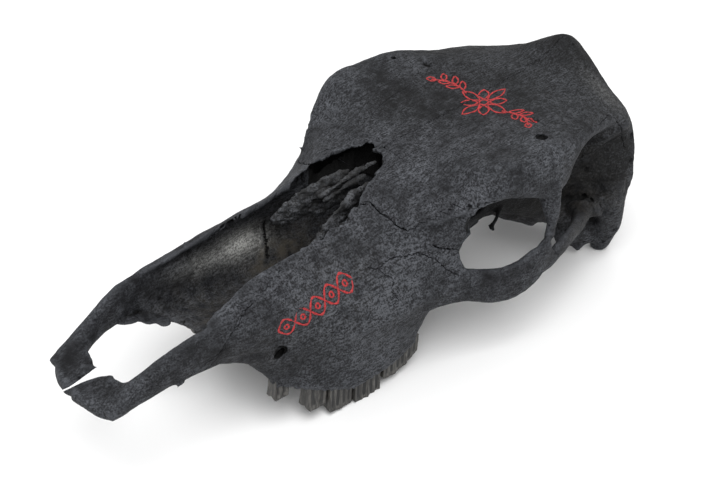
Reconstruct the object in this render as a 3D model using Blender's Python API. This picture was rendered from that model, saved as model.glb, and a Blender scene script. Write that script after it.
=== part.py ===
"""A cow skull without its lower jaw and nasal bones, resting on its cheek teeth and its rear processes.

The bones are drawn in the skull's own measure: x to the animal's left, y backwards from the tip of the snout
and z up from the plane of the cheek teeth, all in millimetres. The skull is fused from its masses, parted
again along its sutures, tipped back to the pose in which it rests, and turned into metres.
"""

import math

import bmesh
import bpy
from mathutils import Matrix, Vector

MM = 0.001
REST_PITCH = math.radians(12.1)
REST_PIVOT = 281.0
VOXEL = 2.0
SUTURE_GAP = 0.34
RING_STEP = 8.0
BONE_TRIANGLES = 9600
FLAT_DEPTH = 0.8
RESTING = ("maxilla", "occipital")
FAR = 400.0

BONE_COLOUR = (0.045, 0.047, 0.052, 1.0)
BLADE_COLOUR = (0.07, 0.055, 0.04, 1.0)

# Places along the skull where the cranium's outline is set, and the half width and height of each line there.
CRANIUM_STATIONS = (245, 275, 300, 330, 365, 400, 445, 474, 492)
CRANIUM_LINES = {
    "middle of the forehead": (
        (0, 150), (0, 165), (0, 172), (0, 179), (0, 188),
        (0, 199), (0, 212), (0, 232), (0, 226),
    ),
    "beside the middle": (
        (30, 149), (30, 162), (32, 171), (34, 180), (34, 189),
        (30, 200), (22, 211), (15, 225), (16, 218),
    ),
    "forehead": (
        (52, 141), (60, 155), (72, 179), (78, 188), (78, 196),
        (68, 200), (56, 203), (44, 206), (42, 202),
    ),
    "brow": (
        (62, 134), (82, 150), (96, 183), (102, 187), (101, 192),
        (94, 191), (84, 193), (74, 193), (68, 187),
    ),
    "edge of the socket": (
        (64, 128), (91, 148), (105, 164), (109, 160), (109, 157),
        (92, 182), (80, 184), (81, 180), (80, 174),
    ),
    "socket roof": (
        (52, 122), (74, 138), (86, 152), (88, 151), (80, 150),
        (66, 168), (66, 168), (84, 158), (89, 154),
    ),
    "side of the braincase": (
        (44, 112), (52, 118), (50, 124), (48, 122), (52, 126),
        (62, 136), (65, 134), (86, 126), (92, 126),
    ),
    "lower side": (
        (40, 98), (46, 96), (50, 92), (46, 92), (44, 102),
        (53, 100), (60, 84), (76, 94), (84, 92),
    ),
    "beside the base": (
        (20, 86), (20, 84), (20, 82), (20, 88), (22, 98),
        (28, 96), (30, 78), (34, 72), (34, 74),
    ),
    "base": (
        (0, 84), (0, 82), (0, 80), (0, 84), (0, 92),
        (0, 88), (0, 73), (0, 70), (0, 74),
    ),
}
# The face is a tapering box whose sides carry the crest of the cheek and the tooth sockets.
FACE_STATIONS = (84, 120, 140, 165, 200, 240, 268, 290)
FACE_LINES = {
    "middle of the nose": (
        (0, 84), (0, 101), (0, 109), (0, 118),
        (0, 128), (0, 148), (0, 160), (0, 166),
    ),
    "rim of the nose": (
        (42, 84), (34, 101), (32, 109), (32, 117),
        (31, 128), (34, 148), (40, 159), (46, 168),
    ),
    "upper cheek": (
        (47, 74), (47, 90), (47, 97), (48, 101),
        (52, 107), (61, 125), (75, 147), (89, 153),
    ),
    "middle cheek": (
        (48, 64), (54, 74), (57, 78), (62, 81),
        (69, 86), (77, 99), (84, 118), (90, 128),
    ),
    "crest of the cheek": (
        (47, 57), (53, 58), (58, 58), (68, 60),
        (79, 62), (83, 70), (86, 82), (91, 96),
    ),
    "over the sockets": (
        (44, 52), (49, 44), (55, 35), (66, 29),
        (77, 26), (80, 34), (77, 46), (72, 66),
    ),
    "socket edge outside": (
        (41, 48), (44, 40), (51, 23), (64, 10),
        (73, 3), (76, 9), (71, 26), (58, 48),
    ),
    "socket edge inside": (
        (32, 43), (32, 39), (36, 25), (44, 13),
        (52, 6), (54, 12), (52, 28), (46, 50),
    ),
    "side of the palate": (
        (16, 44), (16, 41), (18, 38), (22, 36),
        (24, 35), (24, 37), (22, 43), (20, 56),
    ),
    "middle of the palate": (
        (0, 46), (0, 43), (0, 40), (0, 38),
        (0, 37), (0, 39), (0, 46), (0, 58),
    ),
}


def smooth_at(knots, t):
    """A smooth curve through the knots, whose first value is the place along it, read at t."""
    places = [k[0] for k in knots]
    t = min(max(t, places[0]), places[-1])
    i = max(j for j in range(len(knots) - 1) if places[j] <= t or j == 0)
    span = places[i + 1] - places[i]
    u = (t - places[i]) / span
    before = knots[max(i - 1, 0)]
    after = knots[min(i + 2, len(knots) - 1)]
    found = []
    for c in range(1, len(knots[0])):
        p0 = knots[i][c]
        p1 = knots[i + 1][c]
        m0 = (p1 - before[c]) / (places[i + 1] - before[0])
        m1 = (after[c] - p0) / (after[0] - places[i])
        start = (2 * u**3 - 3 * u**2 + 1) * p0 + (u**3 - 2 * u**2 + u) * span * m0
        end = (3 * u**2 - 2 * u**3) * p1 + (u**3 - u**2) * span * m1
        found.append(start + end)
    return found


def new_object(name, bm):
    bmesh.ops.recalc_face_normals(bm, faces=bm.faces)
    mesh = bpy.data.meshes.new(name)
    bm.to_mesh(mesh)
    bm.free()
    obj = bpy.data.objects.new(name, mesh)
    bpy.context.scene.collection.objects.link(obj)
    return obj


def loft(name, rings):
    """A closed body through rings of points, all of one count, with a flat cap on each end."""
    bm = bmesh.new()
    rows = [[bm.verts.new(p) for p in ring] for ring in rings]
    count = len(rows[0])
    for a, b in zip(rows, rows[1:]):
        for i in range(count):
            j = (i + 1) % count
            bm.faces.new((a[i], a[j], b[j], b[i]))
    bm.faces.new(list(reversed(rows[0])))
    bm.faces.new(rows[-1])
    bmesh.ops.triangulate(bm, faces=[f for f in bm.faces if len(f.verts) > 4])
    return new_object(name, bm)


def round_outline(points, per_span):
    """A closed smooth outline through the points, with per_span points for each."""
    n = len(points)
    out = []
    for i in range(n):
        p0, p1, p2, p3 = (Vector(points[(i + k - 1) % n]) for k in range(4))
        for s in range(per_span):
            t = s / per_span
            bend = (2 * p0 - 5 * p1 + 4 * p2 - p3) * t * t + (3 * p1 - p0 - 3 * p2 + p3) * t**3
            out.append(0.5 * (2 * p1 + (p2 - p0) * t + bend))
    return out


def hull(name, stations, lines):
    """A body mirrored about the middle plane, spanned across lines that run along the skull."""
    tracks = [[(y, *place) for y, place in zip(stations, line)] for line in lines.values()]
    first = stations[0]
    last = stations[-1]
    count = round((last - first) / RING_STEP) + 1
    rings = []
    for k in range(count):
        y = first + (last - first) * k / (count - 1)
        half = [smooth_at(track, y) for track in tracks]
        full = half + [(-x, z) for x, z in reversed(half[1:-1])]
        rings.append([(p.x, y, p.y) for p in round_outline(full, 3)])
    return loft(name, rings)


def tube(name, knots, sides=12, steps=16):
    """A smooth bar through knots of x, y, z, half width across and half height."""
    track = [(i, *k) for i, k in enumerate(knots)]
    places = [smooth_at(track, (len(knots) - 1) * i / steps) for i in range(steps + 1)]
    rings = []
    for i, (x, y, z, wide, high) in enumerate(places):
        a = Vector(places[max(i - 1, 0)][:3])
        b = Vector(places[min(i + 1, steps)][:3])
        along = (b - a).normalized()
        side = along.cross(Vector((0, 0, 1)))
        if side.length < 0.2:
            side = Vector((1, 0, 0))
        side.normalize()
        up = side.cross(along).normalized()
        ring = []
        for s in range(sides):
            angle = 2 * math.pi * s / sides
            ring.append(Vector((x, y, z)) + side * wide * math.cos(angle) + up * high * math.sin(angle))
        rings.append(ring)
    return loft(name, rings)


def ball(name, centre, radii, turn=(0, 0, 0)):
    bm = bmesh.new()
    bmesh.ops.create_uvsphere(bm, u_segments=20, v_segments=12, radius=1.0)
    m = Matrix.Translation(centre) @ Matrix.Rotation(turn[2], 4, "Z") @ Matrix.Rotation(turn[1], 4, "Y")
    m = m @ Matrix.Rotation(turn[0], 4, "X") @ Matrix.Diagonal((*radii, 1))
    bmesh.ops.transform(bm, matrix=m, verts=bm.verts)
    return new_object(name, bm)


def mirrored(obj):
    """The same body on the animal's right side."""
    bm = bmesh.new()
    bm.from_mesh(obj.data)
    bmesh.ops.transform(bm, matrix=Matrix.Diagonal((-1, 1, 1, 1)), verts=bm.verts)
    return new_object(obj.name + "_right", bm)


def on_both_sides(bodies):
    return bodies + [mirrored(body) for body in bodies]


def premaxilla_bodies():
    """The flat front plate and the bar that runs back along the rim of the nose."""
    bar = tube("premaxilla_bar", (
        (29, 12, 28, 13, 7), (35, 30, 40, 8, 10), (39, 48, 51, 6, 14), (42, 66, 59, 5.5, 17),
        (43.5, 84, 64, 5, 19), (44, 104, 70, 5, 18), (42, 126, 80, 4, 14),
    ))
    rings = []
    for inner, outer, y, skew, z, high in (
        (4, 14, -1, 2, 30, 3), (1.6, 26, 2, 4, 29, 6), (1.6, 35, 8, 5, 28, 7), (1.8, 38, 15, 6, 31, 7),
        (3, 38, 21, 7, 35, 6), (6, 38, 25, 8, 39, 4), (22, 38, 29, 8, 42, 4),
    ):
        ring = [(inner, y, z - high), (outer, y + skew, z - high), (outer + 2, y + skew, z)]
        ring += [(outer, y + skew, z + high), (inner, y, z + high)]
        rings.append(ring)
    return on_both_sides([bar, loft("premaxilla_plate", rings)])


def turbinate_blade():
    """A thin blade that grows forwards from the rear wall of the nose."""
    return tube("turbinate", (
        (24, 190, 106, 2.2, 5), (21, 206, 114, 2.2, 12), (15, 234, 126, 2.4, 16), (9, 262, 132, 2.6, 16),
        (6, 292, 130, 3, 16),
    ), sides=10, steps=14)


def middle_bodies():
    """The tongue of the forehead behind the nose, the ridge down the nape and the keel of the base."""
    tongue_track = ((0, 276, 160, 8, 4), (0, 264, 162, 5, 3), (1, 256, 160, 3, 2))
    tongue = tube("forehead_tongue", tongue_track, sides=8, steps=6)
    ridge_track = ((0, 484, 200, 7, 8), (0, 488, 170, 5, 6), (0, 488, 134, 6, 6))
    ridge = tube("nape_ridge", ridge_track, sides=8, steps=8)
    keel_track = ((0, 408, 88, 9, 8), (0, 440, 78, 14, 9), (0, 488, 76, 20, 8))
    keel = tube("base_keel", keel_track, sides=10, steps=8)
    return [tongue, ridge, keel]


def orbit_bodies():
    """The front rim of the eye socket, the cheek bone under it, the bar behind and the temple's arch."""
    rim = tube("socket_rim", (
        (84, 284, 98, 4, 4), (82, 283, 114, 4, 4), (84, 284, 134, 4, 4), (93, 284, 152, 5, 5),
    ), sides=8, steps=12)
    cheek = tube("cheek_bone", (
        (80, 262, 78, 7, 18), (86, 280, 81, 6, 17), (94, 298, 82, 5.5, 15), (103, 318, 81, 5.5, 17),
        (109, 336, 86, 5, 18), (112, 352, 98, 4.5, 17), (112, 368, 102, 3, 10),
    ))
    bar = tube("socket_bar", (
        (103, 354, 164, 7, 12), (108, 357, 148, 5, 8), (111.5, 360, 130, 4, 6), (112, 358, 112, 4.5, 7),
        (111, 352, 96, 4, 9),
    ), sides=10, steps=14)
    arch = tube("temple_arch", (
        (112, 356, 91, 3.5, 7), (111, 372, 96, 4, 9), (107, 392, 105, 4.5, 10.5), (99, 412, 106, 5, 9),
        (89, 432, 106, 7, 8), (76, 446, 108, 13, 10),
    ), sides=10)
    return on_both_sides([rim, cheek, bar, arch])


def base_bodies():
    """What stands out under and behind the braincase: condyles, processes, ear parts and palate plates."""
    condyle = ball("condyle", (25, 501, 88), (13, 15, 22), (0.25, 0.5, 0.25))
    mastoid = tube("mastoid", (
        (82, 474, 132, 12, 12), (83, 482, 108, 12, 12), (81, 489, 88, 12, 12), (76, 496, 70, 11, 10),
        (71, 501, 58, 10, 9), (69, 503, 50, 7, 7),
    ), sides=10, steps=12)
    web_track = ((60, 466, 76, 9, 12), (65, 480, 72, 9, 14), (70, 494, 70, 9, 12))
    web = tube("ear_web", web_track, sides=10, steps=8)
    drum = ball("ear_drum", (57, 468, 72), (13, 17, 17), (0.3, 0, 0))
    drum_tip = tube("ear_drum_tip", ((60, 470, 66, 7, 8), (66, 480, 53, 4, 5)), sides=8, steps=4)
    ear_track = ((64, 452, 100, 10, 10), (78, 458, 106, 9, 9), (88, 462, 110, 8, 8))
    ear = tube("ear_tube", ear_track, sides=10, steps=6)
    wing_track = ((26, 390, 100, 8, 8), (34, 404, 92, 5, 8), (46, 432, 84, 5, 8))
    wing = tube("base_wing", wing_track, sides=8, steps=8)
    plate = tube("palate_plate", (
        (27, 276, 62, 4, 20), (28, 300, 68, 3.5, 22), (28, 325, 76, 3.5, 20), (28, 345, 86, 4, 12),
        (30, 368, 97, 6, 9),
    ), sides=10, steps=12)
    hook_track = ((28, 318, 64, 3, 6), (28.5, 328, 54, 2.5, 4), (29, 336, 46, 2, 3))
    hook = tube("palate_hook", hook_track, sides=6, steps=6)
    tuber = ball("tear_bulge", (52, 298, 80), (13, 18, 14))
    return on_both_sides([condyle, mastoid, web, drum, drum_tip, ear, wing, plate, hook, tuber])


# Where each cheek tooth starts along the skull, its length, the x of its outer face, its width and its tip.
TEETH = (
    (143, 13, 57, 11, 5),
    (168, 17, 70, 14, -6),
    (186, 23, 74, 15, -11),
    (210, 27, 76, 16, -9),
    (238, 35, 76, 15, 3),
)
PILLAR_BULGE = 1.3
SOCKET_DEPTH = 34


def tooth(number, start, length, outer, width, tip):
    """A cheek tooth whose outer face stands out in upright pillars."""
    pillars = 3 if length > 20 else 2
    steps = pillars * 4
    rise = 16 if number == len(TEETH) - 1 else 2
    rings = []
    for height in (SOCKET_DEPTH, SOCKET_DEPTH / 2, 6, 0):
        outside = []
        inside = []
        for i in range(steps + 1):
            t = i / steps
            y = start + length * (0.03 + 0.94 * t)
            z = tip + height + rise * t * t * (1 if height < 7 else 0.5)
            bulge = PILLAR_BULGE * (abs(math.sin(math.pi * pillars * t)) - 0.5)
            outside.append((outer + bulge - height * 0.12, y, z))
            inside.append((outer - width - PILLAR_BULGE * (abs(math.sin(2 * math.pi * t)) - 0.5), y, z))
        rings.append(outside + inside[::-1])
    return loft(f"tooth_{number}", rings)


def nose_cut():
    """The hollow of the nose between thin walls, open above where the nasal bones are missing."""
    rim_track = [(y, *place) for y, place in zip(FACE_STATIONS, FACE_LINES["rim of the nose"])]
    rings = []
    for y, rim, shoulder, wall, floor_half, floor in (
        (70, 38, 41, 39, 35, 51), (84, 38, 41, 39, 35, 51), (100, 34, 42, 41, 35, 48),
        (120, 30.5, 43, 44, 37, 46), (150, 28.5, 43, 46, 38, 46), (180, 28.5, 46, 50, 40, 48),
        (205, 28, 47, 52, 38, 51), (225, 23, 42, 48, 34, 55), (245, 17, 36, 40, 30, 62),
        (264, 11, 24, 32, 24, 72), (270, 4, 20, 28, 22, 78), (285, 4, 18, 26, 20, 84),
    ):
        rim_z = smooth_at(rim_track, y)[1]
        top = rim_z + 40 if y < 266 else rim_z - 25
        edge_z = min(rim_z, top)
        shoulder_z = edge_z - 0.75 * (shoulder - rim) - 4
        half = [(0, top), (rim, top), (rim, edge_z - 3), (shoulder, shoulder_z)]
        half += [(wall, (shoulder_z + floor) / 2 + 4), (floor_half, floor), (0, floor)]
        rings.append([(x, y, z) for x, z in half] + [(-x, y, z) for x, z in reversed(half[1:-1])])
    return loft("nose_cut", rings)


def front_gap():
    """The gap in the floor of the nose, between the two bars at the front."""
    rings = []
    for y, half in ((60, 34), (84, 36), (94, 30), (102, 20), (108, 8)):
        rings.append([(half, y, 0), (half, y, 120), (-half, y, 120), (-half, y, 0)])
    return loft("front_gap", rings)


def hollow_cutters():
    throat = tube("throat", (
        (0, 262, 74, 16, 12), (0, 285, 66, 17, 14), (0, 320, 52, 20, 20), (0, 350, 40, 24, 30),
    ))
    spine = tube("spine_hole", ((0, 450, 98, 16, 16), (0, 480, 98, 18, 17), (0, 530, 98, 20, 19)), sides=14)
    socket = tube("socket", (
        (130, 312, 128, 32, 29), (100, 320, 126, 31, 27), (76, 326, 122, 27, 25), (54, 340, 122, 20, 20),
        (38, 352, 120, 8, 8),
    ), sides=18, steps=12)
    front = tube("socket_front", (
        (116, 296, 116, 15, 14), (92, 300, 114, 17, 16), (72, 310, 108, 16, 15), (58, 322, 100, 10, 10),
    ), sides=14, steps=10)
    cheek_track = ((66, 134, 54, 5, 5), (54, 145, 50, 4.5, 4.5), (46, 158, 50, 4, 4))
    cheek_hole = tube("cheek_hole", cheek_track, sides=8, steps=4)
    brow_track = ((62, 372, 215, 4, 4), (61, 378, 185, 4.5, 4.5), (60, 380, 172, 4, 4))
    brow_hole = tube("brow_hole", brow_track, sides=8, steps=4)
    ear_track = ((100, 466, 114, 4, 4), (84, 461, 109, 4, 4), (72, 457, 104, 4, 4))
    ear_hole = tube("ear_hole", ear_track, sides=8, steps=4)
    nape = ball("nape_hollow", (40, 510, 150), (32, 34, 38), (0, 0, 0.35))
    return [throat, spine] + on_both_sides([socket, front, cheek_hole, brow_hole, ear_hole, nape])


def boolean(obj, others, operation):
    """Joins the other bodies to the object or cuts them from it, and removes them."""
    group = bpy.data.collections.new("operands")
    for other in others:
        group.objects.link(other)
    modifier = obj.modifiers.new(operation, "BOOLEAN")
    modifier.operation = operation
    modifier.operand_type = "COLLECTION"
    modifier.collection = group
    modifier.solver = "MANIFOLD"
    apply_modifiers(obj)
    for other in others:
        bpy.data.objects.remove(other)
    bpy.data.collections.remove(group)


def apply_modifiers(obj):
    graph = bpy.context.evaluated_depsgraph_get()
    mesh = bpy.data.meshes.new_from_object(obj.evaluated_get(graph))
    obj.modifiers.clear()
    obj.data = mesh


def fuse(obj, triangles):
    """Melts the joined masses into one bone surface and thins it to a count of triangles."""
    remesh = obj.modifiers.new("fused", "REMESH")
    remesh.mode = "VOXEL"
    remesh.voxel_size = VOXEL
    smooth = obj.modifiers.new("eased", "SMOOTH")
    smooth.factor = 0.5
    smooth.iterations = 3
    apply_modifiers(obj)
    full = sum(len(p.vertices) - 2 for p in obj.data.polygons)
    thin = obj.modifiers.new("thinned", "DECIMATE")
    thin.ratio = triangles / full
    thin.use_collapse_triangulate = True
    apply_modifiers(obj)


def slab(name, line, low_x, high_x):
    """A thin cutting wall that follows a line in side view, between two distances from the middle plane."""
    places = [Vector(p) for p in line]
    there = []
    back = []
    for i, place in enumerate(places):
        before = place - places[i - 1] if i > 0 else places[1] - place
        after = places[i + 1] - place if i + 1 < len(places) else before
        normal = (before.normalized() + after.normalized()).normalized().orthogonal()
        shift = normal * SUTURE_GAP / 2
        there.append(place + shift)
        back.append(place - shift)
    outline = there + back[::-1]
    return loft(name, [[(x, y, z) for y, z in outline] for x in (low_x, high_x)])


# The sutures in side view, as places of distance back and height.
CHEEK_SUTURE_TOP = ((190, 260), (212, 152), (226, 126), (252, 112), (270, 105))
CHEEK_SUTURE = ((252, 112), (284, 99.2), (292, 98.8), (294, 60), (300, 20), (304, -60))
SNOUT_SUTURE = ((46, -60), (56, 30), (66, 41), (82, 49), (95, 58), (104, 74), (109, 96), (112, 160))
NAPE_SUTURE = ((540, 206), (486, 199), (478, 180), (472, 140), (462, 100), (458, -60))
MIDDLE_OUTLINE = (
    (-40, -60), (-40, 260), (190, 260), (260, 105), (292, 98.8), (294, 60), (300, 20), (304, -60),
)
BLADE_CLEAR = 20.6


def suture_slabs():
    half = SUTURE_GAP / 2
    middle = loft("middle_suture", [[(x, y, z) for y, z in MIDDLE_OUTLINE] for x in (-half, half)])
    slabs = [
        middle,
        slab("cheek_suture", CHEEK_SUTURE, -FAR, FAR),
        slab("snout_suture", SNOUT_SUTURE, -FAR, FAR),
        slab("nape_suture", NAPE_SUTURE, -FAR, FAR),
    ]
    paired = [
        slab("cheek_suture_top", CHEEK_SUTURE_TOP, BLADE_CLEAR, FAR),
        slab("turbinate_suture", ((252, 100), (252, 154)), 6, 15.5),
        slab("tear_suture", ((288, 99), (326, 99)), 30, FAR),
        slab("bar_suture", ((335, 122), (385, 116)), 92, FAR),
        slab("arch_suture", ((377, 70), (381, 92), (371, 104), (374, 117)), 92, FAR),
    ]
    return slabs + on_both_sides(paired)


# A point well inside the space of each bone.
BONE_SEEDS = {
    "cranium": (0, 380, 150),
    "occipital": (0, 500, 120),
    "maxilla_left": (60, 200, 60),
    "premaxilla_left": (35, 50, 45),
    "zygomatic_left": (103, 325, 85),
    "turbinate_left": (14, 225, 122),
}


def loose_parts(obj):
    """The separate closed bodies of an object, each as its own bmesh."""
    whole = bmesh.new()
    whole.from_mesh(obj.data)
    whole.faces.ensure_lookup_table()
    seen = set()
    found = []
    for face in whole.faces:
        if face.index in seen:
            continue
        group = []
        queue = [face]
        seen.add(face.index)
        while queue:
            current = queue.pop()
            group.append(current)
            for edge in current.edges:
                for other in edge.link_faces:
                    if other.index not in seen:
                        seen.add(other.index)
                        queue.append(other)
        part = bmesh.new()
        copies = {}
        for one in group:
            corners = []
            for vert in one.verts:
                if vert not in copies:
                    copies[vert] = part.verts.new(vert.co)
                corners.append(copies[vert])
            part.faces.new(corners)
        found.append(part)
    whole.free()
    return found


def name_of(part):
    middle = sum((v.co for v in part.verts), Vector()) / len(part.verts)
    seeds = dict(BONE_SEEDS)
    for name, (x, y, z) in BONE_SEEDS.items():
        if name.endswith("_left"):
            seeds[name.replace("_left", "_right")] = (-x, y, z)
    return min(seeds, key=lambda name: (middle - Vector(seeds[name])).length)


def part_bones(skull):
    """Cuts the fused skull along its sutures and keeps the largest body of each bone."""
    boolean(skull, suture_slabs(), "DIFFERENCE")
    largest = {}
    for part in loose_parts(skull):
        name = name_of(part)
        volume = part.calc_volume()
        if name not in largest or volume > largest[name][0]:
            largest[name] = (volume, part)
    bpy.data.objects.remove(skull)
    return [new_object(name, part) for name, (volume, part) in sorted(largest.items())]


def finish(obj, colour):
    material = bpy.data.materials.new(obj.name)
    material.use_nodes = True
    shader = material.node_tree.nodes["Principled BSDF"]
    shader.inputs["Base Color"].default_value = colour
    shader.inputs["Roughness"].default_value = 0.8
    obj.data.materials.clear()
    obj.data.materials.append(material)


def lowest(bones):
    return min(v.co.z for bone in bones for v in bone.data.vertices)


def set_down(bones):
    """Tips the skull back to its pose, grinds small flats at floor level, centres it and scales it."""
    pivot = Vector((0, REST_PIVOT, 0))
    tip = Matrix.Translation(pivot) @ Matrix.Rotation(-REST_PITCH, 4, "X") @ Matrix.Translation(-pivot)
    for bone in bones:
        bone.data.transform(tip)
    floor = max(lowest([bone]) for bone in bones if bone.name.split("_")[0] in RESTING) + FLAT_DEPTH
    for bone in bones:
        if lowest([bone]) < floor:
            corners = [(-FAR, -FAR), (FAR, -FAR), (FAR, 2 * FAR), (-FAR, 2 * FAR)]
            below = loft("below", [[(x, y, z) for x, y in corners] for z in (-FAR, floor)])
            boolean(bone, [below], "DIFFERENCE")
    places = [v.co for bone in bones for v in bone.data.vertices]
    middle_y = (min(p.y for p in places) + max(p.y for p in places)) / 2
    for bone in bones:
        bone.data.transform(Matrix.Scale(MM, 4) @ Matrix.Translation((0, -middle_y, -floor)))


def main():
    for obj in list(bpy.data.objects):
        bpy.data.objects.remove(obj)
    skull = hull("skull", CRANIUM_STATIONS, CRANIUM_LINES)
    boolean(skull, [hull("face", FACE_STATIONS, FACE_LINES)], "UNION")
    boolean(skull, [nose_cut(), front_gap()], "DIFFERENCE")
    masses = premaxilla_bodies() + orbit_bodies() + base_bodies() + middle_bodies()
    masses += on_both_sides([turbinate_blade()])
    for number, sizes in enumerate(TEETH):
        masses += on_both_sides([tooth(number, *sizes)])
    boolean(skull, masses, "UNION")
    boolean(skull, hollow_cutters(), "DIFFERENCE")
    fuse(skull, BONE_TRIANGLES)
    bones = part_bones(skull)
    for bone in bones:
        finish(bone, BLADE_COLOUR if bone.name.startswith("turbinate") else BONE_COLOUR)
    set_down(bones)


if __name__ == "__main__":
    main()
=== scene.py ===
import math

import bmesh
import bpy
import numpy as np
from bpy.props import FloatProperty, FloatVectorProperty, PointerProperty
from mathutils import Matrix, Vector, noise
from mathutils.bvhtree import BVHTree


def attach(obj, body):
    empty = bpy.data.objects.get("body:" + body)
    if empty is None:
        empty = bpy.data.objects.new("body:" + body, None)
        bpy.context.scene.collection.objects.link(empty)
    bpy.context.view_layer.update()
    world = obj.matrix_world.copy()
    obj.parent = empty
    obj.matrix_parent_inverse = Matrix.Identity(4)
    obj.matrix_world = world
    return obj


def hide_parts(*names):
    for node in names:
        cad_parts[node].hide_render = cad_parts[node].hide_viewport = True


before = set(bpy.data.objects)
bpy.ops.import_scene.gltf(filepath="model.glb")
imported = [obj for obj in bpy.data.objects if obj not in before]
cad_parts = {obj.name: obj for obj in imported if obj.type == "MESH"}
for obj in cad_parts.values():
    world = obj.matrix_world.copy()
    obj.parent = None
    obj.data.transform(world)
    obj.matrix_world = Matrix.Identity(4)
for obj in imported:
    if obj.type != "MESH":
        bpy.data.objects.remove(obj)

bl_info = {
    "name": "Cow Skull",
    "version": (1, 0, 0),
    "blender": (4, 5, 0),
    "location": "View3D > Sidebar > Skull",
    "description": "Builds the bones, teeth, blades and painted lines of a cow skull on its frame",
    "category": "Add Mesh",
}

# The skull's own measure: x to the animal's left, y back from the tip of the snout, z up from the tooth plane, in mm.
PITCH = math.radians(12.1)
PIVOT = 281.0
MIDDLE_Y = 272.903
FLOOR_Z = 3.898
TO_WORLD = (
    Matrix.Scale(0.001, 4)
    @ Matrix.Translation((0, PIVOT - MIDDLE_Y, -FLOOR_Z))
    @ Matrix.Rotation(-PITCH, 4, "X")
    @ Matrix.Translation((0, -PIVOT, 0))
)
TO_SKULL = TO_WORLD.inverted()
FAR = 400.0
OVERHEAD_Z = 300
MM_PER_M = 1000

BOX_LOW = Vector((-0.1163, -0.2613, 0.0))
BOX_HIGH = Vector((0.1163, 0.2613, 0.182))


class SkullSizes(bpy.types.PropertyGroup):
    step: FloatProperty(
        name="Surface Step", description="Edge length of the bone surface", default=0.0012, unit="LENGTH"
    )
    suture_gap: FloatProperty(
        name="Suture Gap", description="Width of the gap between two bones", default=0.0006, unit="LENGTH"
    )
    suture_wave: FloatProperty(
        name="Suture Wave", description="Height of the zigzag of a suture", default=0.0012, unit="LENGTH"
    )
    line_width: FloatProperty(
        name="Line Width", description="Width of a painted line", default=0.0017, unit="LENGTH"
    )
    lens: FloatProperty(name="Lens", description="Focal length of the camera in millimetres", default=64.19)
    lamp_power: FloatProperty(name="Lamp Power", description="Power of the main lamp in watts", default=20.0)


class SkullColours(bpy.types.PropertyGroup):
    charcoal: FloatVectorProperty(
        name="Charcoal", description="Dark stain of the bone", subtype="COLOR", default=(0.0065, 0.0066, 0.0078)
    )
    dust: FloatVectorProperty(
        name="Dust", description="Pale dry patches of the bone", subtype="COLOR", default=(0.086, 0.091, 0.102)
    )
    brown: FloatVectorProperty(
        name="Brown", description="Brown bone in the hollows", subtype="COLOR", default=(0.07, 0.062, 0.05)
    )
    tooth: FloatVectorProperty(
        name="Tooth", description="Stained enamel", subtype="COLOR", default=(0.05, 0.048, 0.044)
    )
    paint: FloatVectorProperty(
        name="Paint", description="Red painted lines", subtype="COLOR", default=(0.42, 0.015, 0.018)
    )
    floor: FloatVectorProperty(name="Floor", description="Pale floor", subtype="COLOR", default=(0.86, 0.86, 0.86))


def new_object(name, bm):
    mesh = bpy.data.meshes.new(name)
    bm.to_mesh(mesh)
    bm.free()
    obj = bpy.data.objects.new(name, mesh)
    bpy.context.scene.collection.objects.link(obj)
    return obj


def apply_modifiers(obj):
    graph = bpy.context.evaluated_depsgraph_get()
    mesh = bpy.data.meshes.new_from_object(obj.evaluated_get(graph))
    obj.modifiers.clear()
    obj.data = mesh


def cut_away(obj, others):
    """Cuts the other bodies from the object and removes them."""
    group = bpy.data.collections.new("operands")
    for other in others:
        group.objects.link(other)
    modifier = obj.modifiers.new("cut", "BOOLEAN")
    modifier.operation = "DIFFERENCE"
    modifier.operand_type = "COLLECTION"
    modifier.collection = group
    modifier.solver = "MANIFOLD"
    apply_modifiers(obj)
    for other in others:
        bpy.data.objects.remove(other)
    bpy.data.collections.remove(group)


def rows_of(items, key, width=3, kind=float):
    """One value of all the items of a mesh, a row for each."""
    values = np.empty(len(items) * width, kind)
    items.foreach_get(key, values)
    return values.reshape(-1, width)


def coordinates(mesh):
    return rows_of(mesh.vertices, "co")


def set_coordinates(mesh, places):
    mesh.vertices.foreach_set("co", places.reshape(-1))
    mesh.update()


def raise_surface(mesh, lift):
    """Moves each vertex out along its normal."""
    normals = rows_of(mesh.vertex_normals, "vector")
    set_coordinates(mesh, coordinates(mesh) + normals * lift[:, None])


def neighbour_mean(ends, values):
    """The mean of each vertex's neighbours, for values of one column or more."""
    count = len(values)
    number = np.bincount(ends.reshape(-1), minlength=count).clip(1)
    columns = []
    for column in values.reshape(count, -1).T:
        total = np.bincount(ends[:, 0], column[ends[:, 1]], count)
        total += np.bincount(ends[:, 1], column[ends[:, 0]], count)
        columns.append(total / number)
    return np.stack(columns, 1).reshape(values.shape)


def track_distance(points, track):
    """The distance from each point to a line through the track's places."""
    track = np.array(track, float)
    best = np.full(len(points), FAR)
    for a, b in zip(track, track[1:]):
        along = b - a
        t = ((points - a) @ along / (along @ along)).clip(0, 1)
        best = np.minimum(best, np.linalg.norm(points - a - t[:, None] * along, axis=1))
    return best


def turbulence(points, scale, octaves, seed):
    """Soft random values about zero at each point, for a scale of x, y and z."""
    moved = points * scale + seed
    return np.array([noise.fractal(Vector(p), 1.0, 2.0, octaves) for p in moved])


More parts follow.
